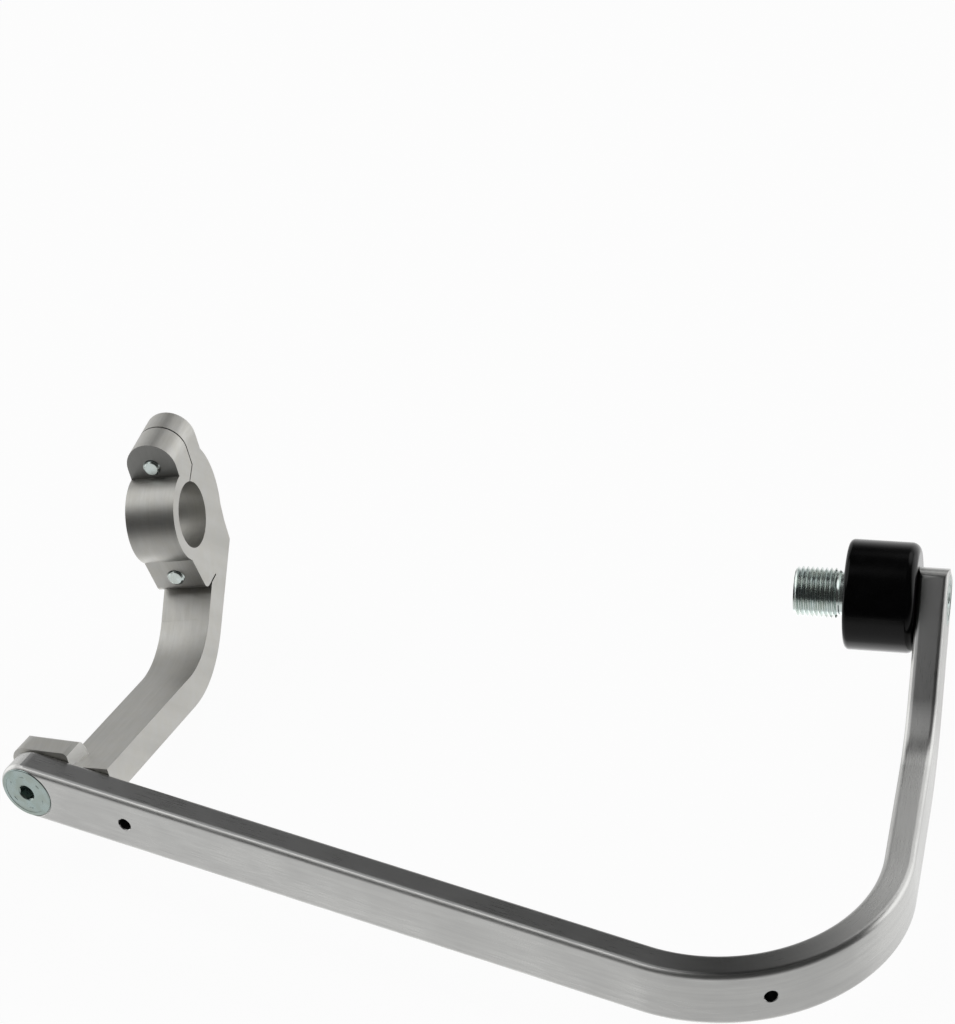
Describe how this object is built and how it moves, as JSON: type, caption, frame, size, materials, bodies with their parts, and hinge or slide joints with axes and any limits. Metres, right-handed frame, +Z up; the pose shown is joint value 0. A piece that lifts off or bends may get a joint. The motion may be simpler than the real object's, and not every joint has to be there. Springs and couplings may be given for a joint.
{
  "type": "motorcycle hand guard",
  "caption": "Rigid hand guard for a motorcycle handlebar: a bent flat bar on a curved arm with a clamp, and a round weight with a threaded stud at its outer end.",
  "frame": {"origin": "Centre of the handlebar clamp's bore, on its axis and midway across its width.", "axes": "+X runs outwards along the straight front run of the bar, +Y back towards the rider, +Z up. With that, it is the guard for the left hand of a rider who looks along -Y, and the bore's axis leans off X the way it does in the picture."},
  "size_m": [0.3056, 0.1835, 0.0767],
  "materials": {
    "bar": "brushed satin, the grain along the bar",
    "arm": "machined satin",
    "zinc": "bright zinc plating",
    "weight": "gloss black"
  },
  "bodies": {
    "root": {"guard_bar": "bar", "clamp_arm": "arm", "clamp_cap": "arm", "clamp_screw_upper": "zinc", "clamp_screw_lower": "zinc", "arm_bolt": "zinc", "bar_end_weight": "weight", "bar_end_stud": "zinc", "bar_end_bolt": "zinc"}
  },
  "joints": []
}
